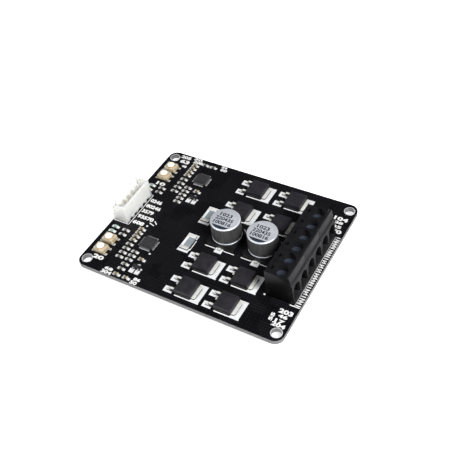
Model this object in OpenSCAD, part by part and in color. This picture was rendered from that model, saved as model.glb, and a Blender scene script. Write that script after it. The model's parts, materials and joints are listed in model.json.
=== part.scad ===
// Dual motor driver module: a black circuit board with three screw terminal
// blocks along one end, a five-pin header at the other, eight power transistors,
// two can capacitors, two driver chips, four push buttons and their small parts.
// Millimetres. +X points to the screw terminals, +Y to the far long edge, +Z up.
// The origin is the centre of the four mounting holes, on the board's underside.

/* [Board] */
// Distance between mounting holes along the length
hole_pitch_x = 69; // [66:0.5:80]
// Distance between mounting holes across the width
hole_pitch_y = 54; // [52:0.5:64]
// From a mounting hole to the end of the board
hole_edge_x = 2.6; // [2.2:0.1:5]
// From a mounting hole to the side of the board
hole_edge_y = 3.05; // [2.2:0.05:5]
// Mounting hole diameter
hole_d = 3.2; // [2:0.1:3.6]
// Board thickness
board_t = 1.6; // [0.8:0.1:2.4]
// Corner radius of the board
corner_r = 3; // [0.5:0.1:5]
// Thickness of a soldered copper pad
pad_t = 0.1; // [0.05:0.01:0.2]
// How far the soldered pins stand out below the board
pin_below = 1.8; // [1:0.1:3]

/* [Terminal blocks] */
// Distance between neighbouring poles
pole_pitch = 5.08; // [4.9:0.02:5.4]
// Depth of a block, front to rear
block_depth = 9.6; // [9.4:0.1:12]
// Height of the flat top over the board
block_h = 11.2; // [11:0.1:13]
// Radius of the rounded ridge along the front edge of the top
ridge_r = 0.6; // [0.4:0.05:0.8]
// From the front of a block's foot back to the wall under the ridge
ridge_set = 1.1; // [0.9:0.05:1.4]
// Height of the lip over the wire entries
lip_h = 8.15; // [8:0.05:8.6]
// Gap between neighbouring blocks
block_gap = 0.06; // [0.02:0.01:0.2]
// From the front of the blocks to the end of the board
block_setback = 2.1; // [1:0.1:4]
// Middle of the row of blocks, across the board
block_y = -0.75; // [-3:0.05:3]
// From the block's foot at the front to the screw axis
screw_depth = 5.1; // [4.7:0.1:5.4]
// Screw shank diameter
shank_d = 2.5; // [2:0.1:2.8]
// Thread pitch of the screw
thread_pitch = 0.5; // [0.4:0.05:0.7]
// Diameter of the well over a screw head
well_d = 4.2; // [3.8:0.1:4.3]
// Height of a screw head
head_h = 1; // [0.7:0.1:1.3]
// Width of the driver slot
slot_w = 0.7; // [0.5:0.1:1]
// Running clearance around heads and shanks
screw_clear = 0.06; // [0.02:0.01:0.1]
// Diameter of the test hole behind each screw
test_hole_d = 1.6; // [1.2:0.1:1.8]
// Width of a wire clamp
clamp_w = 3.8; // [3.6:0.1:3.9]
// Length of a wire clamp
clamp_l = 6; // [5.4:0.1:6.2]
// Side wall of a wire clamp
clamp_wall = 0.5; // [0.4:0.05:0.6]
// Floor of a wire clamp
clamp_floor = 0.7; // [0.5:0.05:0.8]
// Threaded roof of a wire clamp
clamp_roof = 0.7; // [0.5:0.05:0.9]
// Space for a wire in an open clamp, floor to contact
wire_gap = 1.9; // [1.6:0.1:2.2]
// Slack between a clamp and the chamber it slides in
clamp_clear = 0.1; // [0.05:0.01:0.12]
// Thickness of the contact strip
contact_t = 0.6; // [0.5:0.05:0.7]
// Width of a contact's soldered pin
contact_pin_w = 0.9; // [0.6:0.1:1]

/* [Header] */
// Distance between neighbouring pins
pin_pitch = 2.5; // [2.4:0.01:2.54]
// Width of a square pin
pin_w = 0.64; // [0.5:0.01:0.7]
// Shroud past the outer pins
header_end = 2.45; // [2.2:0.05:3]
// Depth of the shroud
header_depth = 5.75; // [5.4:0.05:6.2]
// Height of the shroud
header_h = 7; // [6:0.1:8]
// Wall of the shroud
header_wall = 0.8; // [0.6:0.05:1]
// Floor of the shroud
header_floor = 1.7; // [1.2:0.1:2.2]
// Width of the two keying slots
key_slot_w = 1; // [0.8:0.1:1.5]
// From the end of the board to the shroud
header_setback = 0.2; // [0.1:0.1:1]
// Middle of the header, across the board
header_y = -1.1; // [-3:0.05:2]

/* [Buttons] */
// Length of a button's housing, along the board
switch_l = 4.2; // [4:0.1:4.6]
// Width of a button's housing
switch_w = 3.4; // [3.3:0.1:4]
// Height of a button's housing
switch_h = 1.2; // [1:0.05:1.6]
// Cover plate over the housing
switch_cover_t = 0.3; // [0.2:0.05:0.4]
// Diameter of the plunger
plunger_d = 2.7; // [2:0.1:2.8]
// Height of the plunger over the cover
plunger_rise = 0.7; // [0.5:0.05:1.2]
// Travel of the plunger
plunger_travel = 0.25; // [0.1:0.05:0.3]
// Distance between the two buttons of a pair
switch_pitch = 4.7; // [4.6:0.1:5.2]
// Middle of the far pair of buttons, across the board
switch_far_y = 18.75; // [17:0.05:19.5]
// Middle of the near pair of buttons, across the board
switch_near_y = -19.65; // [-20.5:0.05:-18]
// From the end of the board to the middle of a button
switch_inset = 4.8; // [4:0.1:6]

/* [Capacitors] */
// Diameter of a can
can_d = 10; // [8:0.1:10.4]
// Height of a can's top over the board
can_h = 8.9; // [7:0.1:12]
// Height of the black base
can_base_h = 1.5; // [1.2:0.1:2]
// How far the square base is wider than the can
can_base_margin = 0.3; // [0.2:0.05:0.6]
// Distance between the two cans
can_pitch = 13.3; // [11.5:0.1:15]
// Middle of the first can along the board
can_x = 3.35; // [2:0.05:5]
// Middle of both cans across the board
can_y = -0.4; // [-1:0.05:1]

/* [Power transistors] */
// Moulded body along the board
mosfet_l = 6.1; // [5.8:0.1:6.4]
// Moulded body across the board
mosfet_w = 6.6; // [6.2:0.1:6.8]
// Height of the moulded body
mosfet_h = 2.3; // [2:0.05:2.5]
// Metal thickness of tab and leads
mosfet_metal = 0.5; // [0.4:0.05:0.6]
// How far the tab shows past the body
tab_reach = 1.1; // [0.8:0.1:1.4]
// How far the leads reach from the body
lead_reach = 2.9; // [2.5:0.1:3.2]
// Distance between the two outer leads
lead_pitch = 4.57; // [4.3:0.01:4.8]
// Distance between the two columns of transistors
mosfet_pitch = 14; // [13.5:0.1:15]
// Middle of the first column's bodies along the board
mosfet_x = 2.65; // [2:0.05:4]

/* [Driver chips] */
// Side of a driver chip's body
driver_side = 4.4; // [4:0.1:4.8]
// Height of a driver chip
driver_h = 0.9; // [0.8:0.05:1.4]
// Legs along each side of a driver chip
driver_legs = 8; // [4:1:8]
// Distance between neighbouring legs
driver_leg_pitch = 0.5; // [0.45:0.05:0.55]
// How far the legs reach from the body
driver_leg_reach = 0.7; // [0.6:0.05:1]

/* [Small parts] */
// Length of a small chip resistor or capacitor
chip_l = 1.6; // [1.4:0.1:1.8]
// Width of a small chip
chip_w = 0.8; // [0.7:0.05:0.9]
// Height of a chip resistor
resistor_h = 0.45; // [0.35:0.05:0.6]
// Height of a chip capacitor
capacitor_h = 0.8; // [0.6:0.05:0.9]
// Length of a current sensing resistor, across the board
shunt_l = 6.4; // [6:0.1:6.6]
// Width of a current sensing resistor
shunt_w = 3.2; // [3:0.1:3.4]
// Height of a current sensing resistor
shunt_h = 0.6; // [0.5:0.05:0.8]

/* [Hidden] */
$fn = 48;
over = 0.5;

board_l = hole_pitch_x + 2 * hole_edge_x;
board_w = hole_pitch_y + 2 * hole_edge_y;
board_left = -board_l / 2;
board_right = board_l / 2;
seat_z = board_t + pad_t;

POLES = 6;
POLES_PER_BLOCK = 2;
block_front = board_right - block_setback;
block_rear = block_front - block_depth;
block_w = POLES_PER_BLOCK * pole_pitch - block_gap;
screw_x = block_front - screw_depth;
rear_wall = 0.8;
chamber_rear = block_rear + rear_wall;
clamp_rear = chamber_rear + contact_t + 2 * clamp_clear;
clamp_front = clamp_rear + clamp_l;
chamber_front = clamp_front + clamp_clear;
chamber_w = clamp_w + 2 * clamp_clear;
clamp_lift = 1.2;
clamp_floor_z = board_t + clamp_lift + clamp_floor;
tongue_z = clamp_floor_z + wire_gap;
clamp_roof_z = tongue_z + contact_t + clamp_clear;
clamp_travel = wire_gap - clamp_clear;
chamber_roof = clamp_roof_z + clamp_roof + clamp_travel + clamp_clear;
well_web = 0.5;
well_floor = chamber_roof + well_web;
head_z = well_floor + 0.03;
test_hole_depth = 1.8;
test_hole_set = 1.2;
test_hole_x = block_rear + test_hole_set;
ridge_x = block_front - ridge_set - 1.6 * ridge_r;
contact_w = clamp_w - 2 * clamp_wall - 0.2;
contact_hole_d = 1.3;

PINS = 5;
header_l = (PINS - 1) * pin_pitch + 2 * header_end;
header_x0 = board_left + header_setback;
header_mid_x = header_x0 + header_depth / 2;
header_pin_set = 2.35;
header_pin_x = header_x0 + header_pin_set;
header_pin_top = board_t + header_h - 1;
header_hole_d = 0.95;
key_slot_depth = 3.6;
key_slot_set = 1.5;
side_slot_w = 0.8;
side_slot_depth = 3;

switch_x = board_left + switch_inset;
switch_ys = [
    switch_far_y + switch_pitch / 2, switch_far_y - switch_pitch / 2,
    switch_near_y + switch_pitch / 2, switch_near_y - switch_pitch / 2
];
plunger_flange = 0.25;
plunger_flange_t = 0.3;
switch_cover_z = seat_z + switch_h;
plunger_floor = 0.35;

can_base_side = can_d + can_base_margin;
can_xs = [can_x, can_x + can_pitch];
can_seat = 0.7;
can_lead_w = 1;
can_lead_t = 0.3;
can_lead_reach = 0.9;

mosfet_ys = [22.85, 11.2, -13.85, -24.5];
mosfet_far_set = -0.45;
mosfet_first_xs = [mosfet_x + mosfet_far_set, mosfet_x + mosfet_far_set, mosfet_x, mosfet_x];
mosfet_tab_w = 5.3;
mosfet_lead_w = 0.76;
mosfet_lead_exit = 0.9;
mosfet_foot = 1.3;
mosfet_pocket = 0.5;

driver_xs = [board_left + 18.2, board_left + 17.8];
driver_ys = [20.2, -13.3];
driver_leg_w = 0.24;
driver_leg_t = 0.15;

shunt_x = board_left + 29.6;
shunt_ys = [5.85, -7.6];
shunt_cap_l = 1.2;
skin = 0.04;

led_x = board_left + 3.1;
led_gap_x = 4.2;
led_far_y = 10.75;
led_near_y = -11.5;
led_pitch = 2.1;
led_spots = concat(
    [for (i = [0:1]) [led_x, led_far_y - led_pitch * i]],
    [for (i = [0:1]) [led_x, led_near_y - led_pitch * i]]
);
led_base_h = 0.3;
led_lens_h = 0.35;

sot_x = board_left + 20.2;
sot_ys = [10.95, -23.75];
sot_l = 2.9;
sot_w = 1.3;
sot_h = 1;
sot_leg_pitch = 1.9;
sot_leg_reach = 0.55;

chip_a_x = board_left + 12.1;
chip_b_x = board_left + 15.75;
chip_cap_l = 0.35;
far_row_xs = [board_left + 15.4, board_left + 18.7];
far_row_y = board_w / 2 - 2.55;
near_row_xs = [board_left + 15.7, board_left + 19.4];
near_row_y = 1.25 - board_w / 2;
resistor_spots = concat(
    [for (i = [0:3]) [chip_a_x, 17.95 - 2.15 * i]],
    [for (i = [0:3]) [chip_a_x, -16.25 - 1.95 * i]],
    [for (i = [0:4]) [chip_b_x, 14.75 - 1.85 * i]],
    [for (i = [0:2]) [chip_b_x, -18.35 - 1.8 * i]],
    [for (i = [0:1]) [chip_b_x, -24.05 - 2.1 * i]],
    [for (x = far_row_xs) [x, far_row_y]],
    [for (i = [0:1]) [led_x + led_gap_x, led_far_y - led_pitch * i]],
    [for (i = [0:1]) [led_x + led_gap_x, led_near_y - led_pitch * i]]
);
capacitor_spots = concat(
    [for (i = [0:3]) [chip_a_x, 25.8 - 1.85 * i]],
    [for (i = [0:3]) [chip_a_x, -8.95 - 1.75 * i]],
    [for (x = near_row_xs) [x, near_row_y]],
    [[sot_x - 0.4, sot_ys[0] + 3.2], [sot_x - 0.5, sot_ys[1] + 3.4]]
);
test_dot_d = 0.7;
test_dots = [
    [sot_x + 1.7, sot_ys[0] - 0.2], [sot_x + 1.7, sot_ys[1] - 0.1],
    [sot_x + 0.4, -17], [chip_a_x + 0.7, -6.9], [block_rear - 0.5, -15.9]
];

function pole_y(i) = block_y + (i - (POLES + 1) / 2) * pole_pitch;
function block_mid_y(b) = block_y + (b - 2) * POLES_PER_BLOCK * pole_pitch;
function header_pin_y(i) = header_y + (i - (PINS + 1) / 2) * pin_pitch;
function mosfet_row(i) = floor((i - 1) / 2);
function mosfet_at(i) = [
    i % 2 == 1 ? mosfet_first_xs[mosfet_row(i)] : mosfet_x + mosfet_pitch,
    mosfet_ys[mosfet_row(i)]
];

// A flat plate with true round corners
module round_plate(l, w, r, t) {
    linear_extrude(t) {
        square([l - 2 * r, w], center = true);
        square([l, w - 2 * r], center = true);
        for (x = [-1, 1], y = [-1, 1])
            translate([x * (l / 2 - r), y * (w / 2 - r)])
                circle(r);
    }
}

// A profile drawn in X and Z, carried along Y and centred on it
module along_y(w) {
    rotate([90, 0, 0])
        linear_extrude(w, center = true)
            children();
}

// A profile drawn in Y and Z, carried along X from 0
module along_x(l) {
    rotate([90, 0, 90])
        linear_extrude(l)
            children();
}

// Side view of a moulded body: widest at its parting line
function moulded_outline(l, h, draft, parting) = [
    [-l / 2 + draft, 0], [l / 2 - draft, 0], [l / 2, parting],
    [l / 2 - draft, h], [-l / 2 + draft, h], [-l / 2, parting]
];

// A moulded body with draft on all four sides
module moulded_body(l, w, h, draft, parting) {
    intersection() {
        along_y(w + over)
            polygon(moulded_outline(l, h, draft, parting));
        translate([-l / 2 - over, 0, 0])
            along_x(l + 2 * over)
                polygon(moulded_outline(w, h, draft, parting));
    }
}

// A bent lead that leaves a body at X = 0 and stands on its foot
module bent_lead(reach, w, t, exit_z, foot, root) {
    knee = reach - foot;
    along_y(w)
        polygon([
            [-root, exit_z], [knee - t, exit_z], [knee - t, 0], [reach, 0],
            [reach, t], [knee, t], [knee, exit_z + t], [-root, exit_z + t]
        ]);
}

// A square pin along Z with a pyramid at each end
module square_pin(w, z0, z1) {
    tip = w / 2;
    outline = [
        [-w / 4, z0], [w / 4, z0], [w / 2, z0 + tip], [w / 2, z1 - tip],
        [w / 4, z1], [-w / 4, z1], [-w / 2, z1 - tip], [-w / 2, z0 + tip]
    ];
    intersection() {
        along_y(2 * w)
            polygon(outline);
        translate([-w, 0, 0])
            along_x(2 * w)
                polygon(outline);
    }
}

// The board with its mounting holes and pin holes
module board() {
    color([0.03, 0.03, 0.04])
        difference() {
            round_plate(board_l, board_w, corner_r, board_t);
            for (x = [-1, 1], y = [-1, 1])
                translate([x * hole_pitch_x / 2, y * hole_pitch_y / 2, -over])
                    cylinder(h = board_t + 2 * over, d = hole_d);
            for (i = [1:POLES])
                translate([chamber_rear + contact_t / 2, pole_y(i), -over])
                    cylinder(h = board_t + 2 * over, d = contact_hole_d);
            for (i = [1:PINS])
                translate([header_pin_x, header_pin_y(i), -over])
                    cylinder(h = board_t + 2 * over, d = header_hole_d);
        }
}

// A flat pad on the board's top, given by its middle and its size
module pad(at, size) {
    translate([at[0] - size[0] / 2, at[1] - size[1] / 2, board_t])
        cube([size[0], size[1], pad_t]);
}

module chip_pads(at, l) {
    for (x = [-1, 1])
        pad([at[0] + x * l * 0.46, at[1]], [l * 0.43, chip_w + 0.1]);
}

module mosfet_pads(at) {
    tab_pad = [3.2, 7.1];
    tab_pad_past = 1.5;
    lead_pad = [3.1, 2.2];
    pad([at[0] + mosfet_l / 2 + tab_reach + tab_pad_past - tab_pad[0] / 2, at[1]], tab_pad);
    for (y = [-1, 1])
        pad([at[0] - mosfet_l / 2 - lead_reach + 0.4, at[1] + y * lead_pitch / 2], lead_pad);
}

module driver_pads(at) {
    for (side = [0:3])
        translate([at[0], at[1], board_t])
            rotate([0, 0, 90 * side])
                for (i = [1:driver_legs])
                    translate([
                        driver_side / 2 + driver_leg_reach - 0.5,
                        (i - (driver_legs + 1) / 2) * driver_leg_pitch - 0.15,
                        0
                    ])
                        cube([0.6, 0.3, pad_t]);
}

// Every bare soldered pad that shows on the top
module solder_pads() {
    color([0.82, 0.83, 0.84]) {
        for (at = concat(resistor_spots, capacitor_spots, led_spots))
            chip_pads(at, chip_l + 0.5);
        for (i = [1:8])
            mosfet_pads(mosfet_at(i));
        for (i = [0:1])
            driver_pads([driver_xs[i], driver_ys[i]]);
        for (y = shunt_ys, e = [-1, 1])
            pad([shunt_x, y + e * (shunt_l / 2 - 0.1)], [shunt_w + 0.8, 1.9]);
        for (x = can_xs, e = [-1, 1])
            pad([x, can_y + e * (can_base_side / 2)], [can_lead_w + 1.6, 4]);
        for (y = switch_ys, e = [-1, 1], s = [-1, 1])
            pad([switch_x + e * (switch_l / 2 + 0.35), y + s * switch_w * 0.36], [1.1, 0.8]);
        for (y = sot_ys) {
            pad([sot_x, y + sot_w / 2 + 0.45], [0.8, 0.9]);
            for (s = [-1, 1])
                pad([sot_x + s * 1.05, y - sot_w / 2 - 0.95], [1.6, 1.7]);
        }
        for (at = test_dots)
            translate([at[0], at[1], board_t])
                cylinder(h = pad_t, d = test_dot_d);
    }
}

// Side view of a terminal block: flat top, round front ridge, lip and sloping foot
module block_outline() {
    top = board_t + block_h;
    polygon([
        [block_rear, board_t],
        [block_rear, top],
        for (a = [180:-15:15]) [ridge_x + ridge_r * cos(a), top + ridge_r * sin(a)],
        [block_front - ridge_set, board_t + lip_h + 1.4],
        [block_front - ridge_set, board_t + lip_h + 0.3],
        [block_front - 0.6, board_t + lip_h],
        [block_front, board_t]
    ]);
}

// The flared mouth through which a wire goes in, at Y = 0
module wire_entry() {
    mouth_r = pole_pitch / 2 - 0.29;
    throat_r = chamber_w / 2 - 0.4;
    arch_z = board_t + lip_h - 0.75 - pole_pitch / 2 + 0.49;
    sill_in = clamp_floor_z;
    sill_out = clamp_floor_z - 0.2;
    mouth_x = block_front + over;
    l = mouth_x - chamber_front + 0.02;
    translate([mouth_x, 0, arch_z])
        rotate([0, -90, 0])
            cylinder(h = l, r1 = mouth_r, r2 = throat_r);
    intersection() {
        translate([0, 0, board_t])
            linear_extrude(arch_z - board_t)
                polygon([
                    [mouth_x, -mouth_r], [mouth_x, mouth_r],
                    [mouth_x - l, throat_r], [mouth_x - l, -throat_r]
                ]);
        along_y(pole_pitch)
            polygon([
                [mouth_x, sill_out], [mouth_x, arch_z],
                [mouth_x - l, arch_z], [mouth_x - l, sill_in]
            ]);
    }
}

// All that is cut from a block for one pole, at Y = 0
module pole_cuts() {
    translate([screw_x, 0, well_floor])
        cylinder(h = block_h, d = well_d);
    translate([screw_x, 0, chamber_roof - over])
        cylinder(h = block_h / 2, d = shank_d + 2 * screw_clear);
    translate([test_hole_x, 0, board_t + block_h - test_hole_depth])
        cylinder(h = test_hole_depth + over, d = test_hole_d);
    translate([chamber_rear, -chamber_w / 2, board_t - over])
        cube([chamber_front - chamber_rear, chamber_w, chamber_roof - board_t + over]);
    wire_entry();
}

// One two-pole terminal housing, open below
module terminal_housing(b) {
    color([0.05, 0.05, 0.055])
        difference() {
            translate([0, block_mid_y(b), 0])
                along_y(block_w)
                    block_outline();
            for (p = [1:POLES_PER_BLOCK])
                translate([0, pole_y((b - 1) * POLES_PER_BLOCK + p), 0])
                    pole_cuts();
        }
}

// A slotted clamp screw, captive between its well and the contact strip
module terminal_screw(i) {
    color([0.72, 0.73, 0.75])
        translate([screw_x, pole_y(i), 0]) {
            difference() {
                translate([0, 0, head_z])
                    cylinder(h = head_h, d = well_d - 2 * screw_clear);
                translate([-well_d, -slot_w / 2, head_z + head_h / 2])
                    cube([2 * well_d, slot_w, head_h]);
            }
            translate([0, 0, tongue_z + contact_t + 0.05])
                cylinder(h = head_z - tongue_z - contact_t - 0.05, d = shank_d);
        }
}

// The sliding clamp around the contact strip: a tube with a threaded roof
module wire_clamp(i) {
    roof_top = clamp_roof_z + clamp_roof;
    floor_bottom = clamp_floor_z - clamp_floor;
    color([0.78, 0.78, 0.76])
        translate([0, pole_y(i), 0])
            difference() {
                translate([clamp_rear, -clamp_w / 2, floor_bottom])
                    cube([clamp_l, clamp_w, roof_top - floor_bottom]);
                translate([clamp_rear - over, -clamp_w / 2 + clamp_wall, clamp_floor_z])
                    cube([clamp_l + 2 * over, clamp_w - 2 * clamp_wall, clamp_roof_z - clamp_floor_z]);
                translate([screw_x, 0, clamp_roof_z - over])
                    cylinder(h = clamp_roof + 2 * over, d = shank_d + 2 * screw_clear);
            }
}

// Bent contact strips: a tongue in each clamp, a back and a soldered pin
module terminal_contacts() {
    back_bottom = board_t;
    color([0.75, 0.74, 0.7])
        for (i = [1:POLES])
            translate([chamber_rear, pole_y(i), 0]) {
                translate([0, -contact_w / 2, tongue_z])
                    cube([clamp_front - chamber_rear - 0.4, contact_w, contact_t]);
                translate([0, -contact_w / 2, back_bottom])
                    cube([contact_t, contact_w, tongue_z - back_bottom + contact_t]);
                translate([0, -contact_pin_w / 2, -pin_below])
                    cube([contact_t, contact_pin_w, back_bottom + pin_below + contact_t]);
            }
}

// The open-topped shroud: keying slots, a slot at each end, relief notches at its foot
module header_housing() {
    notch_w = 1.3;
    notch_h = 0.7;
    slot_y = header_l / 2 - header_wall - key_slot_w / 2 - key_slot_set;
    color([0.93, 0.93, 0.9])
        translate([header_x0, header_y - header_l / 2, board_t])
            difference() {
                cube([header_depth, header_l, header_h]);
                translate([header_wall, header_wall, header_floor])
                    cube([header_depth - 2 * header_wall, header_l - 2 * header_wall, header_h]);
                for (s = [-1, 1])
                    translate([-over, header_l / 2 + s * slot_y - key_slot_w / 2, header_h - key_slot_depth])
                        cube([header_wall + 2 * over, key_slot_w, header_h]);
                translate([header_wall, -over, header_h - side_slot_depth])
                    cube([side_slot_w, header_l + 2 * over, header_h]);
                for (i = [1:PINS])
                    translate([0, header_pin_y(i) - header_y + header_l / 2, 0]) {
                        translate([header_depth - header_wall, -notch_w / 2, -over])
                            cube([header_wall + over, notch_w, notch_h + over]);
                        translate([header_pin_x - header_x0 - pin_w / 2, -pin_w / 2, -over])
                            cube([pin_w, pin_w, header_floor + 2 * over]);
                    }
            }
}

// The five square pins of the header
module header_pins() {
    color([0.8, 0.8, 0.78])
        for (i = [1:PINS])
            translate([header_pin_x, header_pin_y(i), 0])
                square_pin(pin_w, -pin_below, header_pin_top);
}

// A button's housing: a tray with a round well for the plunger's flange
module switch_base(i) {
    color([0.9, 0.85, 0.72])
        translate([switch_x, switch_ys[i - 1], seat_z])
            difference() {
                round_plate(switch_l, switch_w, 0.3, switch_h);
                translate([0, 0, plunger_floor])
                    cylinder(h = switch_h, d = plunger_d + 2 * plunger_flange + 2 * screw_clear);
            }
}

// The four cover plates that hold the plungers in
module switch_covers() {
    color([0.88, 0.84, 0.74])
        for (y = switch_ys)
            translate([switch_x, y, switch_cover_z])
                difference() {
                    round_plate(switch_l - 0.2, switch_w - 0.1, 0.3, switch_cover_t);
                    translate([0, 0, -over])
                        cylinder(h = switch_cover_t + 2 * over, d = plunger_d + 2 * screw_clear);
                }
}

// A plunger with its hidden flange and a softly domed top
module button(i) {
    flange_z = switch_cover_z - plunger_flange_t - 0.05;
    top_z = switch_cover_z + switch_cover_t + plunger_rise;
    edge = 0.3;
    color([0.95, 0.93, 0.86])
        translate([switch_x, switch_ys[i - 1], 0])
            rotate_extrude()
                polygon([
                    [0, flange_z], [plunger_d / 2 + plunger_flange, flange_z],
                    [plunger_d / 2 + plunger_flange, flange_z + plunger_flange_t],
                    [plunger_d / 2, flange_z + plunger_flange_t],
                    [plunger_d / 2, top_z - edge],
                    for (a = [15:15:75]) [plunger_d / 2 - edge * (1 - cos(a)), top_z - edge * (1 - sin(a))],
                    [plunger_d / 2 - edge, top_z], [0, top_z]
                ]);
}

// Four bent legs for each button
module switch_legs() {
    leg_w = 0.5;
    leg_t = 0.15;
    color([0.8, 0.78, 0.7])
        for (y = switch_ys, e = [0, 180], s = [-1, 1])
            translate([switch_x, y, seat_z])
                rotate([0, 0, e])
                    translate([switch_l / 2, s * switch_w * 0.36, 0])
                        bent_lead(0.75, leg_w, leg_t, 0.35, 0.45, 0);
}

// A drawn metal can with a rolled groove near its foot
module capacitor_can(i) {
    r = can_d / 2;
    foot = seat_z + can_seat;
    groove_z = foot + 1.7;
    groove_r = 0.35;
    crown_r = 0.5;
    top_z = board_t + can_h;
    color([0.8, 0.82, 0.85])
        translate([can_xs[i - 1], can_y, 0])
            rotate_extrude($fn = 96)
                polygon([
                    [0, foot], [r - 0.3, foot], [r - 0.02, foot + 0.3], [r - 0.02, groove_z - groove_r],
                    for (a = [-60:30:60]) [r - 0.02 - groove_r * (cos(a) - 0.5), groove_z + groove_r * sin(a)],
                    [r - 0.02, groove_z + groove_r],
                    for (a = [0:15:90]) [r - 0.02 - crown_r * (1 - cos(a)), top_z - crown_r * (1 - sin(a))],
                    [0, top_z]
                ]);
}

// The strip leads below a can's base, at the can's own middle
module can_lead_pair() {
    for (e = [-1, 1])
        translate([-can_lead_w / 2, e > 0 ? can_base_side / 2 - 2.5 : -can_base_side / 2 - can_lead_reach, seat_z])
            cube([can_lead_w, 2.5 + can_lead_reach, can_lead_t]);
}

// The square black base with two cut corners and a round seat for the can
module capacitor_base(i) {
    half = can_base_side / 2;
    cut = 2;
    color([0.05, 0.05, 0.05])
        translate([can_xs[i - 1], can_y, 0])
            difference() {
                translate([0, 0, seat_z])
                    linear_extrude(can_base_h)
                        polygon([
                            [-half, -half], [half, -half], [half, half - cut],
                            [half - cut, half], [cut - half, half], [-half, half - cut]
                        ]);
                translate([0, 0, seat_z + can_seat])
                    cylinder(h = can_base_h, d = can_d, $fn = 96);
                can_lead_pair();
            }
}

module capacitor_leads() {
    color([0.82, 0.82, 0.82])
        for (x = can_xs)
            translate([x, can_y, 0])
                can_lead_pair();
}

// The metal slab that carries a power transistor and shows as its tab
module mosfet_tab() {
    slab_l = mosfet_l * 0.75;
    translate([mosfet_l / 2 + tab_reach - slab_l - tab_reach, -mosfet_tab_w / 2, 0])
        linear_extrude(mosfet_metal)
            polygon([
                [0, 0], [slab_l + tab_reach - 0.4, 0], [slab_l + tab_reach, 0.5],
                [slab_l + tab_reach, mosfet_tab_w - 0.5],
                [slab_l + tab_reach - 0.4, mosfet_tab_w], [0, mosfet_tab_w]
            ]);
}

// Two long bent leads and the short cut one between them
module mosfet_lead_set() {
    translate([-mosfet_l / 2, 0, 0])
        rotate([0, 0, 180]) {
            for (s = [-1, 1])
                translate([0, s * lead_pitch / 2, 0])
                    bent_lead(lead_reach, mosfet_lead_w, mosfet_metal, mosfet_lead_exit, mosfet_foot, mosfet_pocket);
            translate([-mosfet_pocket, -mosfet_lead_w / 2, mosfet_lead_exit])
                cube([mosfet_pocket + 0.7, mosfet_lead_w, mosfet_metal]);
        }
}

// The moulded body of a power transistor, seated on its slab
module mosfet_body(i) {
    color([0.1, 0.1, 0.11])
        translate([mosfet_at(i)[0], mosfet_at(i)[1], seat_z])
            difference() {
                moulded_body(mosfet_l, mosfet_w, mosfet_h, 0.25, mosfet_lead_exit);
                mosfet_tab();
                mosfet_lead_set();
            }
}

module mosfet_tabs() {
    color([0.8, 0.8, 0.8])
        for (i = [1:8])
            translate([mosfet_at(i)[0], mosfet_at(i)[1], seat_z])
                mosfet_tab();
}

module mosfet_leads() {
    color([0.8, 0.8, 0.8])
        for (i = [1:8])
            translate([mosfet_at(i)[0], mosfet_at(i)[1], seat_z])
                mosfet_lead_set();
}

// A square driver chip with a round dimple that marks its first leg
module driver_chip(i) {
    mark = driver_side / 2 - 0.9;
    color([0.12, 0.12, 0.13])
        translate([driver_xs[i - 1], driver_ys[i - 1], seat_z])
            difference() {
                moulded_body(driver_side, driver_side, driver_h, 0.12, driver_h / 2);
                translate([-mark, -mark, driver_h - 0.08])
                    cylinder(h = 1, d = 0.7);
            }
}

module driver_chip_legs() {
    color([0.78, 0.78, 0.78])
        for (i = [0:1], side = [0:3])
            translate([driver_xs[i], driver_ys[i], seat_z])
                rotate([0, 0, 90 * side])
                    for (k = [1:driver_legs])
                        translate([driver_side / 2, (k - (driver_legs + 1) / 2) * driver_leg_pitch, 0])
                            bent_lead(driver_leg_reach, driver_leg_w, driver_leg_t,
                                (driver_h - driver_leg_t) / 2, 0.45, 0);
}

// The ceramic of a chip part, lying along X, inside its end caps
module chip_core(l, w, h) {
    translate([skin - l / 2, skin - w / 2, skin])
        cube([l - 2 * skin, w - 2 * skin, h - 2 * skin]);
}

// The two metal cups over the ends of a chip part
module chip_cups(l, w, h, cup) {
    difference() {
        for (x = [-l / 2, l / 2 - cup])
            translate([x, -w / 2, 0])
                cube([cup, w, h]);
        chip_core(l, w, h);
    }
}

module shunt_resistors() {
    color([0.62, 0.68, 0.68])
        for (y = shunt_ys)
            translate([shunt_x, y, seat_z])
                rotate([0, 0, 90])
                    chip_core(shunt_l, shunt_w, shunt_h);
}

module shunt_end_caps() {
    color([0.85, 0.85, 0.84])
        for (y = shunt_ys)
            translate([shunt_x, y, seat_z])
                rotate([0, 0, 90])
                    chip_cups(shunt_l, shunt_w, shunt_h, shunt_cap_l);
}

module chip_resistors() {
    color([0.1, 0.1, 0.1])
        for (at = resistor_spots)
            translate([at[0], at[1], seat_z])
                chip_core(chip_l, chip_w, resistor_h);
}

module chip_capacitors() {
    color([0.55, 0.45, 0.3])
        for (at = capacitor_spots)
            translate([at[0], at[1], seat_z])
                chip_core(chip_l, chip_w, capacitor_h);
}

module chip_end_caps() {
    color([0.85, 0.85, 0.84]) {
        for (at = resistor_spots)
            translate([at[0], at[1], seat_z])
                chip_cups(chip_l, chip_w, resistor_h, chip_cap_l);
        for (at = capacitor_spots)
            translate([at[0], at[1], seat_z])
                chip_cups(chip_l, chip_w, capacitor_h, chip_cap_l);
    }
}

module led_bases() {
    color([0.85, 0.87, 0.8])
        for (at = led_spots)
            translate([at[0] - chip_l / 2, at[1] - chip_w / 2, seat_z])
                cube([chip_l, chip_w, led_base_h]);
}

module led_lenses() {
    color([0.7, 0.85, 0.82])
        for (at = led_spots)
            translate([at[0], at[1], seat_z + led_base_h])
                moulded_body(chip_l - 0.5, chip_w, led_lens_h, 0.1, 0.02);
}

// Three-legged transistors, two legs on the near side and one on the far side
module small_transistors() {
    color([0.08, 0.08, 0.08])
        for (y = sot_ys)
            translate([sot_x, y, seat_z])
                moulded_body(sot_l, sot_w, sot_h, 0.1, sot_h / 2);
}

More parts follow.
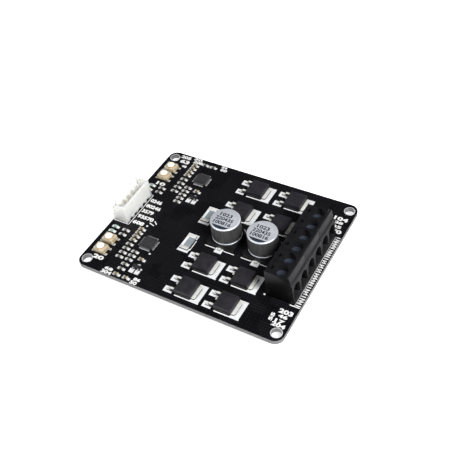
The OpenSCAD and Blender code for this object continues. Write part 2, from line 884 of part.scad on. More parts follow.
module small_transistor_legs() {
    leg_w = 0.42;
    leg_t = 0.15;
    color([0.8, 0.8, 0.8])
        for (y = sot_ys, leg = [[0, 90], [-1, -90], [1, -90]])
            translate([sot_x + leg[0] * sot_leg_pitch / 2, y + (leg[1] > 0 ? 1 : -1) * sot_w / 2, seat_z])
                rotate([0, 0, leg[1]])
                    bent_lead(sot_leg_reach, leg_w, leg_t, (sot_h - leg_t) / 2, 0.3, 0);
}

board();
solder_pads();
for (i = [1:3])
    terminal_housing(i);
for (i = [1:6])
    terminal_screw(i);
for (i = [1:6])
    wire_clamp(i);
terminal_contacts();
header_housing();
header_pins();
for (i = [1:4])
    switch_base(i);
switch_covers();
for (i = [1:4])
    button(i);
switch_legs();
for (i = [1:2])
    capacitor_can(i);
for (i = [1:2])
    capacitor_base(i);
capacitor_leads();
for (i = [1:8])
    mosfet_body(i);
mosfet_tabs();
mosfet_leads();
for (i = [1:2])
    driver_chip(i);
driver_chip_legs();
shunt_resistors();
shunt_end_caps();
chip_resistors();
chip_capacitors();
chip_end_caps();
led_bases();
led_lenses();
small_transistors();
small_transistor_legs();
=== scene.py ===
import json
import math
import random

import bmesh
import bpy
from mathutils import Matrix, Vector


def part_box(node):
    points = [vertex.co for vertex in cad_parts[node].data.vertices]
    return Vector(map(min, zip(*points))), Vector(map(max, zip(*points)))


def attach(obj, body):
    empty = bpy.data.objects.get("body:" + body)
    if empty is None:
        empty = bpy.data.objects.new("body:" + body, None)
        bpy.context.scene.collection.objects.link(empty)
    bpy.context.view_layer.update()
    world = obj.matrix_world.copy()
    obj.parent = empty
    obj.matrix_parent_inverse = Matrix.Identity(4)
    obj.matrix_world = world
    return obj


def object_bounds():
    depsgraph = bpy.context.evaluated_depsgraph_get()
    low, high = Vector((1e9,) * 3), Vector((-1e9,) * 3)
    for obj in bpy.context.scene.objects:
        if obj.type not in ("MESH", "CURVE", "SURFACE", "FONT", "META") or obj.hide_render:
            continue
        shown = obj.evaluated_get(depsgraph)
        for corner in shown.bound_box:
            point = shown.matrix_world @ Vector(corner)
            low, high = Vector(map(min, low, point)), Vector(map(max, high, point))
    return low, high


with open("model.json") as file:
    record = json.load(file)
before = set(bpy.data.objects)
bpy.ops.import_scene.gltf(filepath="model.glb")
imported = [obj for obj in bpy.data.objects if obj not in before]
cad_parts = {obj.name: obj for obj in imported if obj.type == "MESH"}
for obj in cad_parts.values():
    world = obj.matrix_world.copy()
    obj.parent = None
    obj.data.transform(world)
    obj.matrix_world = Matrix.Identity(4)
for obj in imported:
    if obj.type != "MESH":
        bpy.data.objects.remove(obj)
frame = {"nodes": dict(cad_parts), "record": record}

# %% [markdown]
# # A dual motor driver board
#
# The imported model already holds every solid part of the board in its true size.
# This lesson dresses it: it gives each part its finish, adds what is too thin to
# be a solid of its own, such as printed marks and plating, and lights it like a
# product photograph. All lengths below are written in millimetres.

MM = 0.001
ROOT = "module"
NODES = frame["nodes"]
CAD_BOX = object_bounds()
BOARD_LOW, BOARD_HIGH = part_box("board")
TOP = BOARD_HIGH.z / MM
print("board", [round(v / MM, 2) for v in BOARD_HIGH - BOARD_LOW], "mm, top at", round(TOP, 2))


# %% [markdown]
# ## Building blocks
#
# A new piece starts as a bmesh, is shaped by operators and ends as an object at
# the origin. The helpers below do the parts that every piece needs: a flat bar,
# a shape turned on a lathe, printed figures, and placing the result.

# %% Place a finished bmesh as a piece
def place(name, bm, material, smooth=False, body=ROOT):
    bmesh.ops.remove_doubles(bm, verts=bm.verts, dist=1e-7)
    mesh = bpy.data.meshes.new(name)
    bm.to_mesh(mesh)
    bm.free()
    mesh.materials.append(material)
    for face in mesh.polygons:
        face.use_smooth = smooth
    piece = bpy.data.objects.new(name, mesh)
    bpy.context.scene.collection.objects.link(piece)
    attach(piece, body)
    print(name, len(mesh.polygons), "faces")
    return piece


# %% A flat bar between two corners, and a straight stroke between two points
def bar(bm, x0, y0, x1, y1, z, thick):
    made = bmesh.ops.create_cube(bm, size=1)["verts"]
    bmesh.ops.scale(bm, vec=(abs(x1 - x0) * MM, abs(y1 - y0) * MM, thick * MM), verts=made)
    middle = Vector(((x0 + x1) / 2, (y0 + y1) / 2, z + thick / 2)) * MM
    bmesh.ops.translate(bm, vec=middle, verts=made)


def stroke(bm, start, end, width, z, thick):
    along = Vector((end[0] - start[0], end[1] - start[1]))
    made = bmesh.ops.create_cube(bm, size=1)["verts"]
    bmesh.ops.scale(bm, vec=((along.length + width) * MM, width * MM, thick * MM), verts=made)
    turn = Matrix.Rotation(math.atan2(along.y, along.x), 3, "Z")
    bmesh.ops.rotate(bm, matrix=turn, verts=made)
    middle = Vector(((start[0] + end[0]) / 2, (start[1] + end[1]) / 2, z + thick / 2)) * MM
    bmesh.ops.translate(bm, vec=middle, verts=made)


# %% A profile turned about an upright axis
def lathe(bm, profile, x, y, steps=40):
    ring = [bm.verts.new((r * MM, 0, z * MM)) for r, z in profile]
    edges = [bm.edges.new(pair) for pair in zip(ring, ring[1:])]
    bmesh.ops.spin(
        bm, geom=ring + edges, axis=(0, 0, 1), cent=(0, 0, 0), dvec=(0, 0, 0),
        angle=2 * math.pi, steps=steps, use_merge=True, use_duplicate=False)
    fresh = [v for v in bm.verts if not v.tag]
    bmesh.ops.remove_doubles(bm, verts=fresh, dist=1e-7)
    fresh = [v for v in bm.verts if not v.tag]
    faces = [f for f in bm.faces if all(not v.tag for v in f.verts)]
    bmesh.ops.recalc_face_normals(bm, faces=faces)
    bmesh.ops.translate(bm, vec=(x * MM, y * MM, 0), verts=fresh)
    for v in fresh:
        v.tag = True


# %% Printed figures, fitted into a box
def figures(bm, text, x0, y0, x1, y1, z, thick, turn=0, weight=0.045):
    curve = bpy.data.curves.new("figures", "FONT")
    curve.body = text
    curve.extrude = 0.5
    curve.offset = weight
    curve.resolution_u = 3
    holder = bpy.data.objects.new("figures", curve)
    bpy.context.scene.collection.objects.link(holder)
    bpy.context.view_layer.update()
    shown = holder.evaluated_get(bpy.context.evaluated_depsgraph_get())
    mesh = bpy.data.meshes.new_from_object(shown)
    mesh.transform(Matrix.Rotation(math.radians(turn), 4, "Z"))
    low = Vector([min(v.co[k] for v in mesh.vertices) for k in range(3)])
    high = Vector([max(v.co[k] for v in mesh.vertices) for k in range(3)])
    size = high - low
    fit = Matrix.Diagonal(((x1 - x0) / size.x, (y1 - y0) / size.y, thick / size.z, 1))
    mesh.transform(Matrix.Translation(Vector((x0, y0, z))) @ fit @ Matrix.Translation(-low))
    mesh.transform(Matrix.Scale(MM, 4))
    bm.from_mesh(mesh)
    bpy.data.objects.remove(holder)
    bpy.data.curves.remove(curve)
    bpy.data.meshes.remove(mesh)


# %% [markdown]
# ## Finishes
#
# Every material reads Object coordinates, so its pattern stays on the part from
# any side. Most finishes here share one recipe: two close tones mixed by a soft
# noise, a roughness that wanders a little, and a fine bump for the grain. What
# makes each one special is added afterwards.

# %% Node helpers
def srgb(r, g, b):
    def linear(v):
        v = v / 255
        return v / 12.92 if v <= 0.04045 else ((v + 0.055) / 1.055) ** 2.4
    return (linear(r), linear(g), linear(b), 1)


def start_material(name, metallic=0.0):
    material = bpy.data.materials.new(name)
    material.use_nodes = True
    tree = material.node_tree
    shader = tree.nodes["Principled BSDF"]
    shader.inputs["Metallic"].default_value = metallic
    coords = tree.nodes.new("ShaderNodeTexCoord")
    return material, tree, shader, coords.outputs["Object"]


def noise(tree, coords, grain_mm, detail=3.0, rough=0.5, stretch=None):
    if stretch:
        mapping = tree.nodes.new("ShaderNodeMapping")
        mapping.inputs["Scale"].default_value = stretch
        tree.links.new(coords, mapping.inputs["Vector"])
        coords = mapping.outputs["Vector"]
    node = tree.nodes.new("ShaderNodeTexNoise")
    node.inputs["Scale"].default_value = 1 / (grain_mm * MM)
    node.inputs["Detail"].default_value = detail
    node.inputs["Roughness"].default_value = rough
    tree.links.new(coords, node.inputs["Vector"])
    return node.outputs["Fac"]


def spread(tree, value, low, high, from_low=0.3, from_high=0.7):
    node = tree.nodes.new("ShaderNodeMapRange")
    node.inputs["From Min"].default_value = from_low
    node.inputs["From Max"].default_value = from_high
    node.inputs["To Min"].default_value = low
    node.inputs["To Max"].default_value = high
    tree.links.new(value, node.inputs["Value"])
    return node.outputs["Result"]


def mix_colour(tree, share, first, second):
    node = tree.nodes.new("ShaderNodeMix")
    node.data_type = "RGBA"
    tree.links.new(share, node.inputs["Factor"])
    for socket, colour in ((node.inputs["A"], first), (node.inputs["B"], second)):
        if isinstance(colour, tuple):
            socket.default_value = colour
        else:
            tree.links.new(colour, socket)
    return node.outputs["Result"]


def maths(tree, operation, first, second=None):
    node = tree.nodes.new("ShaderNodeMath")
    node.operation = operation
    for socket, value in zip(node.inputs, (first, second)):
        if value is None:
            continue
        if isinstance(value, (int, float)):
            socket.default_value = value
        else:
            tree.links.new(value, socket)
    return node.outputs["Value"]


def facing_share(tree, low, high):
    normal = tree.nodes.new("ShaderNodeNewGeometry")
    parts = tree.nodes.new("ShaderNodeSeparateXYZ")
    tree.links.new(normal.outputs["Normal"], parts.inputs["Vector"])
    return spread(tree, maths(tree, "ABSOLUTE", parts.outputs["Z"]), 0, 1, low, high)


def add_bump(tree, shader, height, depth_mm, strength=1.0):
    node = tree.nodes.new("ShaderNodeBump")
    node.inputs["Strength"].default_value = strength
    node.inputs["Distance"].default_value = depth_mm * MM
    tree.links.new(height, node.inputs["Height"])
    tree.links.new(node.outputs["Normal"], shader.inputs["Normal"])


# %% The shared recipe
def finish(name, dark, light, rough, grain_mm, depth_mm, metallic=0.0, cloud_mm=3.0, stretch=None, shine=0.5):
    material, tree, shader, coords = start_material(name, metallic)
    shader.inputs["Specular IOR Level"].default_value = shine
    cloud = noise(tree, coords, cloud_mm, 4, stretch=stretch)
    grain = noise(tree, coords, grain_mm, 3, stretch=stretch)
    share = maths(tree, "ADD", maths(tree, "MULTIPLY", cloud, 0.6), maths(tree, "MULTIPLY", grain, 0.4))
    tree.links.new(mix_colour(tree, spread(tree, share, 0, 1), dark, light), shader.inputs["Base Color"])
    tree.links.new(spread(tree, share, rough[0], rough[1]), shader.inputs["Roughness"])
    add_bump(tree, shader, grain, depth_mm)
    return material, tree, shader, coords


# %% [markdown]
# ## The board's skin
#
# The board is glass fibre under a black lacquer. Under the lacquer run copper
# tracks and rows of tiny plated holes, which show as faint raised lines and dots.
# A cell pattern decides, patch by patch, whether lines run along the board,
# across it, or whether rows of dots show instead. The cut sides show the bare
# laminate, picked out by where the surface faces sideways.

# %% Lacquer with tracks, dots and bare sides
def board_skin():
    material, tree, shader, coords = start_material("black_lacquer")
    shader.inputs["Specular IOR Level"].default_value = 0.19
    split = tree.nodes.new("ShaderNodeSeparateXYZ")
    tree.links.new(coords, split.inputs["Vector"])
    x, y, z = split.outputs
    cells = tree.nodes.new("ShaderNodeTexVoronoi")
    cells.distance = "CHEBYCHEV"
    cells.inputs["Scale"].default_value = 1 / (7 * MM)
    tree.links.new(coords, cells.inputs["Vector"])
    pick = tree.nodes.new("ShaderNodeSeparateColor")
    tree.links.new(cells.outputs["Color"], pick.inputs["Color"])
    chance = pick.outputs["Red"]

    def lines(value, pitch, width):
        wave = maths(tree, "PINGPONG", value, pitch / 2 * MM)
        return maths(tree, "LESS_THAN", wave, width / 2 * MM)

    along = maths(tree, "MULTIPLY", lines(y, 0.9, 0.34), maths(tree, "LESS_THAN", chance, 0.42))
    across = maths(tree, "MULTIPLY", lines(x, 0.9, 0.34), maths(tree, "GREATER_THAN", chance, 0.74))
    dx = maths(tree, "PINGPONG", x, 0.6 * MM)
    dy = maths(tree, "PINGPONG", y, 0.55 * MM)
    reach = maths(tree, "SQRT", maths(tree, "ADD", maths(tree, "POWER", dx, 2.0), maths(tree, "POWER", dy, 2.0)))
    dots = maths(tree, "LESS_THAN", reach, 0.2 * MM)
    between = maths(tree, "COMPARE", chance, 0.58)
    between.node.inputs[2].default_value = 0.16
    dots = maths(tree, "MULTIPLY", dots, between)
    relief = maths(tree, "MAXIMUM", maths(tree, "MAXIMUM", along, across), dots)

    cloud = noise(tree, coords, 6, 4)
    ground = mix_colour(tree, spread(tree, cloud, 0, 1), srgb(5, 5, 7), srgb(13, 13, 16))
    tracks = mix_colour(tree, maths(tree, "MULTIPLY", relief, 0.4), ground, srgb(40, 40, 46))
    normal = tree.nodes.new("ShaderNodeNewGeometry")
    facing = tree.nodes.new("ShaderNodeSeparateXYZ")
    tree.links.new(normal.outputs["Normal"], facing.inputs["Vector"])
    side = maths(tree, "LESS_THAN", maths(tree, "ABSOLUTE", facing.outputs["Z"]), 0.5)
    layers = noise(tree, coords, 0.12, 3, stretch=(0.06, 0.06, 1))
    edge = mix_colour(tree, spread(tree, layers, 0, 1), srgb(84, 84, 86), srgb(140, 140, 140))
    tree.links.new(mix_colour(tree, side, tracks, edge), shader.inputs["Base Color"])
    haze = spread(tree, noise(tree, coords, 2.5, 4), 0.3, 0.42)
    rough = maths(tree, "ADD", haze, maths(tree, "MULTIPLY", side, 0.4))
    tree.links.new(rough, shader.inputs["Roughness"])
    grain = noise(tree, coords, 0.25, 2)
    height = maths(tree, "ADD", maths(tree, "MULTIPLY", grain, 0.25), relief)
    add_bump(tree, shader, height, 0.02, 0.6)
    return material


LACQUER = board_skin()
print("made", LACQUER.name)

# %% [markdown]
# ## Metals
#
# Solder sets with a bright, slightly lumpy skin. Tin plate is satin. The screws
# are plated steel with a cool tint, and the cans are soft aluminium with a very
# fine grain.

# %% Solder, tin plate, screws and clamps
SOLDER = finish("solder", srgb(226, 228, 232), srgb(255, 255, 255), (0.35, 0.5), 0.5, 0.1, 0.15, 0.8)[0]
PLATING, tree, shader, coords = finish(
    "hole_plating", srgb(214, 216, 220), srgb(250, 250, 250), (0.3, 0.5), 0.5, 0.05, 0.4, 0.8)
ring_colour = shader.inputs["Base Color"].links[0].from_socket
# Painted shade: the plated wall inside each hole is painted darker than the rings.
tree.links.new(mix_colour(tree, facing_share(tree, 0.3, 0.6), srgb(116, 116, 118), ring_colour), shader.inputs["Base Color"])
TIN, tree, shader, coords = finish(
    "tin_plate", srgb(220, 220, 216), srgb(252, 251, 246), (0.3, 0.45), 0.3, 0.03, 0.25, 1.0)
tin_colour = shader.inputs["Base Color"].links[0].from_socket
# Painted shade: the upright faces of the tin plate are painted near-black.
tree.links.new(mix_colour(tree, facing_share(tree, 0.2, 0.6), srgb(40, 40, 42), tin_colour), shader.inputs["Base Color"])
PIN_TIN, tree, shader, coords = finish(
    "pin_tin", srgb(222, 222, 216), srgb(246, 246, 240), (0.35, 0.5), 0.3, 0.02, 0.1, 1.0)
pin_colour = shader.inputs["Base Color"].links[0].from_socket
# Painted shade: the upright faces of the pins are painted a little darker than their ends.
tree.links.new(mix_colour(tree, facing_share(tree, 0.2, 0.6), srgb(212, 212, 204), pin_colour), shader.inputs["Base Color"])
LEG_TIN = finish("leg_tin", srgb(84, 84, 84), srgb(138, 138, 136), (0.35, 0.5), 0.2, 0.02, 0.3, 0.8)[0]
CHIP_TIN = finish("chip_tin", srgb(178, 174, 164), srgb(228, 224, 214), (0.35, 0.5), 0.3, 0.04, 0.15, 0.8)[0]
SCREW_STEEL = finish("screw_plating", srgb(114, 124, 144), srgb(130, 141, 162), (0.28, 0.38), 0.2, 0.004, 0.85, 1.5)[0]
CLAMP_STEEL = finish("clamp_plating", srgb(150, 150, 146), srgb(198, 198, 192), (0.3, 0.5), 0.2, 0.006, 1.0, 1.5)[0]
COVER_STEEL = finish("cover_plating", srgb(186, 170, 132), srgb(252, 248, 234), (0.3, 0.5), 0.4, 0.02, 0.3, 1.0)[0]

# %% Aluminium for the cans
CAN_METAL, tree, shader, coords = finish(
    "can_aluminium", srgb(216, 221, 232), srgb(246, 249, 255), (0.42, 0.56), 0.08, 0.004, 0.6, 4.0)
# Painted shade: the upright sides are painted far darker than the top, though the can is one metal.
upright = facing_share(tree, 0.12, 0.45)
brushed = noise(tree, coords, 0.5, 3, stretch=(1, 1, 0.04))
painted_side_shade = mix_colour(tree, spread(tree, brushed, 0, 1), srgb(84, 84, 86), srgb(102, 102, 102))
top_colour = shader.inputs["Base Color"].links[0].from_socket
tree.links.new(mix_colour(tree, upright, painted_side_shade, top_colour), shader.inputs["Base Color"])
print("metals made")

# %% [markdown]
# ## Plastics and ceramics
#
# The terminal housings are matte black with a spark-eroded grain. The header is
# off-white nylon that lets a little light in, so its edges glow. Moulded chip
# bodies are charcoal with a fine sandy grain, and the chip parts are glazed.

# %% Housings, header and buttons
TERMINAL_BLACK, tree, shader, coords = finish(
    "terminal_black", srgb(16, 16, 18), srgb(29, 29, 32), (0.4, 0.54), 0.09, 0.008, 0, 2.5, shine=0.12)
housing_colour = shader.inputs["Base Color"].links[0].from_socket
normal = tree.nodes.new("ShaderNodeNewGeometry")
parts = tree.nodes.new("ShaderNodeSeparateXYZ")
tree.links.new(normal.outputs["Normal"], parts.inputs["Vector"])
rise = parts.outputs["Z"]
# Painted light: faces sloping up along the front band are painted a lighter grey as a painted highlight, and upright
# and downward faces, the wire entries among them, are painted near-black as painted shade.
painted_band_highlight = mix_colour(tree, spread(tree, rise, 0, 1, 0.8, 0.95), srgb(45, 45, 48), housing_colour)
tree.links.new(mix_colour(tree, spread(tree, rise, 0, 1, 0.1, 0.35), srgb(7, 7, 8), painted_band_highlight), shader.inputs["Base Color"])
HEADER_WHITE, tree, shader, coords = finish(
    "header_nylon", srgb(232, 232, 226), srgb(246, 246, 241), (0.4, 0.52), 0.12, 0.006, 0, 5)
shader.inputs["Subsurface Weight"].default_value = 1.0
shader.inputs["Subsurface Radius"].default_value = (1, 0.95, 0.85)
shader.inputs["Subsurface Scale"].default_value = 2.5 * MM
SWITCH_TAN = finish("switch_tan", srgb(150, 128, 92), srgb(226, 208, 172), (0.4, 0.6), 0.1, 0.006, 0, 1.2)[0]
BUTTON_CREAM, tree, shader, coords = finish(
    "button_cream", srgb(250, 246, 230), srgb(255, 255, 248), (0.28, 0.4), 0.15, 0.004, 0, 1.2)
cap_colour = shader.inputs["Base Color"].links[0].from_socket
# Painted shade: the upright sides of the button are painted tan.
tree.links.new(mix_colour(tree, facing_share(tree, 0.1, 0.4), srgb(196, 160, 112), cap_colour), shader.inputs["Base Color"])
shader.inputs["Subsurface Weight"].default_value = 0.25
shader.inputs["Subsurface Radius"].default_value = (0.0008, 0.0007, 0.0005)

# %% Moulding compounds and chip ceramics
BASE_BLACK = finish("base_black", srgb(10, 10, 11), srgb(20, 20, 22), (0.4, 0.55), 0.1, 0.008, 0, 2, shine=0.3)[0]
MOULD = finish("mould_compound", srgb(28, 27, 31), srgb(46, 44, 50), (0.42, 0.6), 0.07, 0.01, 0, 1.8, shine=0.35)[0]
DRIVER_MOULD = finish("driver_compound", srgb(40, 40, 44), srgb(58, 58, 62), (0.45, 0.6), 0.06, 0.008, 0, 1.8, shine=0.35)[0]
RESISTOR_GLAZE = finish("resistor_glaze", srgb(78, 78, 82), srgb(112, 112, 116), (0.25, 0.4), 0.1, 0.004, 0, 0.9)[0]
CAPACITOR_TAN = finish("capacitor_tan", srgb(112, 98, 76), srgb(150, 134, 106), (0.3, 0.45), 0.08, 0.004, 0, 0.9)[0]
SHUNT_GREY, tree, shader, coords = finish(
    "shunt_coating", srgb(112, 120, 128), srgb(156, 164, 170), (0.35, 0.5), 0.12, 0.006, 0, 1.5)
across = tree.nodes.new("ShaderNodeSeparateXYZ")
tree.links.new(coords, across.inputs["Vector"])
bright = maths(tree, "LESS_THAN", across.outputs["X"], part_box("shunt_resistors")[0].x + 0.9 * MM)
coating = shader.inputs["Base Color"].links[0].from_socket
tree.links.new(mix_colour(tree, bright, coating, srgb(236, 238, 240)), shader.inputs["Base Color"])
LED_WHITE = finish("lamp_ceramic", srgb(222, 226, 214), srgb(244, 246, 238), (0.3, 0.45), 0.1, 0.003, 0, 0.8)[0]
LED_RESIN, tree, shader, coords = finish(
    "lamp_resin", srgb(168, 208, 204), srgb(214, 238, 232), (0.1, 0.2), 0.3, 0.003, 0, 0.6)
shader.inputs["Transmission Weight"].default_value = 0.35
print("plastics made")

# %% [markdown]
# ## Printing inks
#
# The white marks on the board are thick screen-printed ink with slightly uneven
# cover. The dark marks on the cans are a thin ink that lets some metal through.

# %% White and dark ink
WHITE_INK = finish("white_ink", srgb(226, 226, 226), srgb(252, 252, 252), (0.5, 0.7), 0.12, 0.01, 0, 1.0)[0]
DARK_INK = finish("dark_ink", srgb(24, 32, 42), srgb(44, 54, 66), (0.4, 0.6), 0.1, 0.004, 0, 0.7)[0]
print("inks made")

# %% [markdown]
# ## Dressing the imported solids
#
# The solids arrive with one plain material each, so each gets its finish by name.
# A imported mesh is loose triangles. Welding it and adding a small bevel gives the
# moulded parts soft edges that catch the light, as real mouldings have.

# %% Give every solid its finish
BY_PREFIX = {
    "board": LACQUER, "solder_pads": SOLDER, "terminal_housing": TERMINAL_BLACK,
    "terminal_screw": SCREW_STEEL, "wire_clamp": CLAMP_STEEL, "terminal_contacts": TIN,
    "header_housing": HEADER_WHITE, "header_pins": PIN_TIN, "switch_base": SWITCH_TAN,
    "switch_covers": COVER_STEEL, "button": BUTTON_CREAM, "switch_legs": TIN,
    "capacitor_can": CAN_METAL, "capacitor_base": BASE_BLACK, "capacitor_leads": TIN,
    "mosfet_body": MOULD, "mosfet_tabs": TIN, "mosfet_leads": TIN,
    "driver_chip_legs": LEG_TIN, "driver_chip": DRIVER_MOULD,
    "shunt_resistors": SHUNT_GREY, "shunt_end_caps": TIN,
    "chip_resistors": RESISTOR_GLAZE, "chip_capacitors": CAPACITOR_TAN, "chip_end_caps": CHIP_TIN,
    "led_bases": LED_WHITE, "led_lenses": LED_RESIN,
    "small_transistors": MOULD, "small_transistor_legs": TIN,
}
for name, node in NODES.items():
    key = max((k for k in BY_PREFIX if name.startswith(k)), key=len)
    for place_slot in node.material_slots:
        place_slot.material = BY_PREFIX[key]
print(len(NODES), "solids dressed")


# %% Weld, round and smooth
def soften(name, width_mm, angle=32, segments=2):
    node = NODES[name]
    weld = node.modifiers.new("weld", "WELD")
    weld.merge_threshold = 2e-7
    if width_mm:
        bevel = node.modifiers.new("round", "BEVEL")
        bevel.width = width_mm * MM
        bevel.segments = segments
        bevel.limit_method = "ANGLE"
        bevel.angle_limit = math.radians(angle)
        bevel.use_clamp_overlap = True
        bevel.harden_normals = False
    split = node.modifiers.new("crease", "EDGE_SPLIT")
    split.split_angle = math.radians(35)
    for face in node.data.polygons:
        face.use_smooth = True


for name in NODES:
    if name.startswith(("capacitor_can", "button", "terminal_screw", "switch_covers")):
        soften(name, 0)
    elif name.startswith(("mosfet_body", "driver_chip_1", "driver_chip_2", "small_transistors")):
        soften(name, 0.06)
    elif name.startswith(("capacitor_base", "switch_base", "header_housing")):
        soften(name, 0.1)
    elif name.startswith("terminal_housing"):
        soften(name, 0.08)
    elif name in ("mosfet_tabs", "chip_end_caps", "shunt_end_caps"):
        soften(name, 0.04)
print("edges softened")

# %% [markdown]
# ## Plated holes
#
# Each mounting hole has a tinned ring on both faces, joined by a plated wall.
# One profile, turned on the lathe, gives all three at once.

# %% Rings and walls of the four mounting holes
mount = next(m for m in frame["record"]["mounts"] if m["name"] == "mounting_holes")
HOLE_X = mount["dims"]["spacing_x_mm"] / 2
HOLE_Y = mount["dims"]["spacing_y_mm"] / 2
HOLE_R = mount["dims"]["hole_r_mm"]
RING_R = HOLE_R + 0.25
RIM_T = 0.05
WALL_T = 0.04
plating = bmesh.new()
for sx in (-1, 1):
    for sy in (-1, 1):
        profile = [
            (HOLE_R, 0), (RING_R, 0), (RING_R - 0.05, -RIM_T), (HOLE_R - WALL_T, -RIM_T),
            (HOLE_R - WALL_T, TOP + RIM_T), (RING_R - 0.05, TOP + RIM_T), (RING_R, TOP), (HOLE_R, TOP),
            (HOLE_R, 0)]
        lathe(plating, profile, sx * HOLE_X, sy * HOLE_Y, 56)
place("hole_plating", plating, PLATING)

# %% [markdown]
# ## Solder under the board
#
# The header's five pins and the six terminal pins come out below. Solder climbs
# them in a hollow cone, which a short curved profile turned about each pin gives.

# %% Solder cones around the pins
PINS = 5
POLES = 6
header_low, header_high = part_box("header_pins")
contact_low, contact_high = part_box("terminal_contacts")


def solder_cone(bm, x, y, foot, neck, rise):
    profile = [(0, 0.02), (foot, 0.02), (foot, -0.06)]
    for k in range(1, 7):
        t = k / 6
        profile.append((neck + (foot - neck) * (1 - t) ** 2.2, -0.06 - (rise - 0.06) * t))
    profile.append((0, -rise - 0.04))
    lathe(bm, profile, x, y, 28)


cones = bmesh.new()
pin_x = (header_low.x + header_high.x) / 2 / MM
for k in range(PINS):
    y = header_low.y / MM + 0.32 + k * ((header_high.y - header_low.y) / MM - 0.64) / (PINS - 1)
    solder_cone(cones, pin_x, y, 0.95, 0.42, 1.0)
contact_x = contact_low.x / MM + 0.3
first_pole = contact_low.y / MM + 1.3
last_pole = contact_high.y / MM - 1.3
for k in range(POLES):
    y = first_pole + k * (last_pole - first_pole) / (POLES - 1)
    solder_cone(cones, contact_x, y, 1.2, 0.58, 1.1)
place("pin_solder", cones, SOLDER, smooth=True)

# %% [markdown]
# ## Printed outlines
#
# White ink marks where each part sits: a line along the near side of every power
# transistor, broken lines round the two cans, a box for the header and short
# bars beside the sensing resistors. The marks are thin plates on the lacquer.

# %% Outlines of the large parts
INK_T = 0.03
LINE = 0.32
outlines = bmesh.new()


def ink_line(start, end, width=LINE):
    stroke(outlines, start, end, width, TOP, INK_T)


for k in range(1, 9):
    low, high = (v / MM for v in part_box(f"mosfet_body_{k}"))
    cx, cy = (low.x + high.x) / 2, (low.y + high.y) / 2
    ink_line((cx - 2.6, cy - 3.4), (cx + 5.6, cy - 3.4), 0.38)
for k in (1, 2):
    low, high = (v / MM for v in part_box(f"capacitor_base_{k}"))
    cx = (low.x + high.x) / 2
    near, far = low.y - 0.45, high.y + 0.45
    for side in (-1, 1):
        ink_line((cx + side * 1.7, near), (cx + side * 5.2, near))
        ink_line((cx + side * 1.7, far), (cx + side * 3.4, far))
        ink_line((cx + side * 3.4, far), (cx + side * 5.45, far - 2.1))
low, high = (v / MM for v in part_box("header_housing"))
frame_x, frame_lo, frame_hi = high.x + 0.45, low.y - 0.25, high.y + 0.25
ink_line((low.x, frame_lo), (frame_x, frame_lo), 0.24)
ink_line((frame_x, frame_lo), (frame_x, frame_hi), 0.24)
ink_line((low.x, frame_hi), (frame_x, frame_hi), 0.24)
low, high = (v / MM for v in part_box("shunt_resistors"))
for cy in (low.y + 3.2, high.y - 3.2):
    ink_line((high.x + 0.55, cy - 2.6), (high.x + 0.55, cy + 1.6), 0.28)
ink_line((-23.0, -4.0), (-21.9, -4.9), 0.36)
ink_line((-24.2, -5.3), (-22.5, -5.8), 0.36)
place("print_outlines", outlines, WHITE_INK)

# %% [markdown]
# ## Printed figures
#
# Beside the header and in the corners stand short labels. Plain numbers take
# their places here, each fitted to the space that such a label has.

# %% Numbers beside the header, the buttons and the terminals
labels = bmesh.new()


def label(text, x0, y0, x1, y1):
    figures(labels, text, x0, y0, x1, y1, TOP, INK_T)


for text, cy, x1 in (("0246", 4.25, -25.6), ("80246", 1.5, -24.4), ("3579", -1.15, -25.6), ("93570", -3.85, -23.8), ("608", -6.75, -25.8)):
    label(text, -30.2, cy - 0.82, x1, cy + 0.82)
for text, x0, y0, x1, y1 in (
        ("205", -32.6, 27.8, -28.5, 29.3), ("63", -31.7, 25.4, -28.0, 27.2), ("48", -29.8, 23.5, -27.8, 24.6),
        ("10", -33.4, 12.0, -29.9, 13.6), ("20", -33.4, -26.0, -29.3, -24.3),
        ("30", -27.4, 28.7, -24.0, 29.8), ("208", -26.9, 27.1, -23.2, 28.5),
        ("24", -15.9, 28.7, -13.6, 29.8), ("60", -15.6, 27.2, -13.0, 28.5),
        ("68", -26.7, -28.4, -23.6, -27.2), ("304", -27.1, -30.0, -23.2, -28.6),
        ("86", -15.4, -28.4, -12.9, -27.2), ("50", -15.8, -30.0, -13.3, -28.6)):
    label(text, x0, y0, x1, y1)
for text, x0, cy, x1, high in (
        ("104", 31.0, 22.5, 35.8, 1.7), ("28", 32.0, 20.7, 34.8, 1.2), ("35", 32.0, 18.8, 35.0, 1.3), ("70", 32.4, 16.8, 35.9, 1.7),
        ("203", 31.6, -19.3, 36.1, 1.7), ("46", 32.2, -21.1, 35.2, 1.3), ("17", 32.0, -23.0, 35.0, 1.3), ("204", 31.6, -24.4, 36.0, 1.5)):
    label(text, x0, cy - high / 2, x1, cy + high / 2)
figures(labels, "55", 30.0, -23.8, 31.2, -20.8, TOP, INK_T, turn=90)
place("print_figures", labels, WHITE_INK)

# %% [markdown]
# ## The striped edge
#
# Along the terminals, the edge of the board carries a band of short white
# strokes behind a long line. A seeded draw breaks each stroke at its own place.

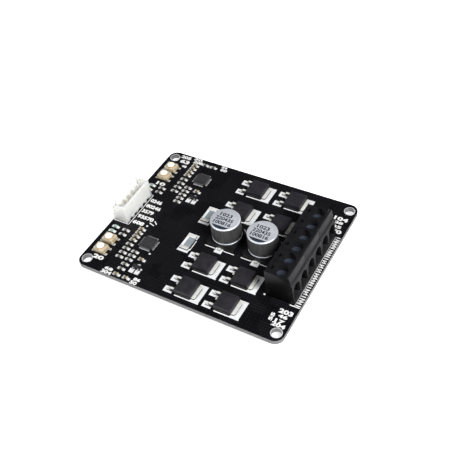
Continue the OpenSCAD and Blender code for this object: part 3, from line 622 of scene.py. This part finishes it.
# %% Strokes along the terminal edge
draw = random.Random(7)
band = bmesh.new()
block_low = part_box("terminal_housing_1")[0] / MM
block_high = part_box("terminal_housing_3")[1] / MM
line_x = block_high.x - 0.2
edge_x = BOARD_HIGH.x / MM - 0.22
bar(band, line_x, block_low.y - 0.3, line_x + 0.3, block_high.y, TOP, INK_T)
stroke(band, (block_high.x - 1.3, block_low.y - 0.35), (edge_x - 0.2, block_low.y - 0.35), 0.34, TOP, INK_T)
y = block_low.y + 0.25
while y < block_high.y:
    start = line_x + 0.4 + 0.25 * draw.random()
    end = edge_x - 0.3 * draw.random()
    stroke(band, (start + 0.2, y), (end - 0.2, y), 0.38, TOP, INK_T)
    if draw.random() < 0.6:
        low_x, high_x = (start, end) if draw.random() < 0.5 else (end, start)
        stroke(band, (low_x, y), (high_x, y + 0.97), 0.24, TOP, INK_T + 0.005)
    y += 0.97
place("print_band", band, WHITE_INK)

# %% [markdown]
# ## Tops of the cans
#
# A dark segment on the near edge marks the negative lead, and rows of small
# figures stand beside it. The segment is a disc, cut by a plane and lifted a
# hair above the metal.

# %% Dark segment and figures on each can
segments = bmesh.new()
can_figures = bmesh.new()
CAN_INK_T = 0.012
for k in (1, 2):
    low, high = (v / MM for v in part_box(f"capacitor_can_{k}"))
    cx, cy, top = (low.x + high.x) / 2, (low.y + high.y) / 2, high.z
    made = bmesh.ops.create_circle(segments, cap_ends=True, segments=96, radius=4.45 * MM)["verts"]
    bmesh.ops.translate(segments, vec=Vector((cx, cy, top + CAN_INK_T)) * MM, verts=made)
    faces = [f for f in segments.faces if all(v in made for v in f.verts)]
    parts = list({e for f in faces for e in f.edges}) + faces + list(made)
    bmesh.ops.bisect_plane(
        segments, geom=parts, plane_co=Vector((cx, cy - 3.2, 0)) * MM, plane_no=(0, 1, 0), clear_outer=True)
    for text, x0, y0, x1 in (("1023", -2.6, 1.0, 1.7), ("220435", -3.3, -0.8, 2.9), ("100816", -3.2, -2.6, 3.0)):
        figures(can_figures, text, cx + x0, cy + y0, cx + x1, cy + y0 + 1.5, top, CAN_INK_T, weight=0.03)
bmesh.ops.solidify(segments, geom=segments.faces[:], thickness=CAN_INK_T * MM)
place("can_segments", segments, DARK_INK)
place("can_figures", can_figures, DARK_INK)

# %% [markdown]
# ## Stage, light and camera
#
# The board lies on a white table in soft, even light. A lamp high beyond the
# terminals does most of the work: it lights their sloped band, which also bears a
# painted highlight, and leaves the parts behind them in shade. A broader, weaker
# one at the near left lights the header and the cans' sides, which are painted
# darker as painted shade. The white table and the pale room fill the shadows.

# %% The table
floor_mesh = bmesh.new()
made = bmesh.ops.create_grid(floor_mesh, x_segments=1, y_segments=1, size=5)["verts"]
bmesh.ops.translate(floor_mesh, vec=(0, 0, CAD_BOX[0].z - 0.00002), verts=made)
mesh = bpy.data.meshes.new("table")
floor_mesh.to_mesh(mesh)
floor_mesh.free()
PAPER, tree, shader, coords = finish("white_paper", srgb(246, 246, 246), srgb(252, 252, 252), (0.85, 0.95), 0.4, 0.01, 0, 60)
shader.inputs["Emission Color"].default_value = (1, 1, 1, 1)
shader.inputs["Emission Strength"].default_value = 0.7
mesh.materials.append(PAPER)
floor = bpy.data.objects.new("table", mesh)
bpy.context.scene.collection.objects.link(floor)


# %% Lamps and room
def lamp(name, position, size, watts, target=(0, 0, 0)):
    data = bpy.data.lights.new(name, "AREA")
    data.shape = "DISK"
    data.size = size
    data.energy = watts
    holder = bpy.data.objects.new(name, data)
    holder.location = position
    aim = Vector(target) - Vector(position)
    holder.rotation_euler = aim.to_track_quat("-Z", "Y").to_euler()
    bpy.context.scene.collection.objects.link(holder)
    return holder


lamp("key", (0.42, -0.15, 0.5), 0.3, 5.5)
lamp("fill", (-0.35, -0.4, 0.4), 0.4, 1.6)
world = bpy.data.worlds.new("room")
bpy.context.scene.world = world
world.use_nodes = True
room = world.node_tree.nodes["Background"]
room.inputs["Color"].default_value = (1, 1, 1, 1)
room.inputs["Strength"].default_value = 0.12

# %% The camera, set as the photograph was taken
camera_data = bpy.data.cameras.new("camera")
camera_data.sensor_width = 36
camera_data.lens = 53.066
camera_data.clip_start = 0.01
camera_data.clip_end = 10
camera = bpy.data.objects.new("camera", camera_data)
camera.location = Vector((93.712, -127.784, 168.208)) * MM
camera.rotation_euler = [math.radians(a) for a in (42.91511, 4.97178, 28.91617)]
bpy.context.scene.collection.objects.link(camera)
bpy.context.scene.camera = camera
bpy.context.scene.view_settings.view_transform = "Standard"
print("stage, lamps and camera set")
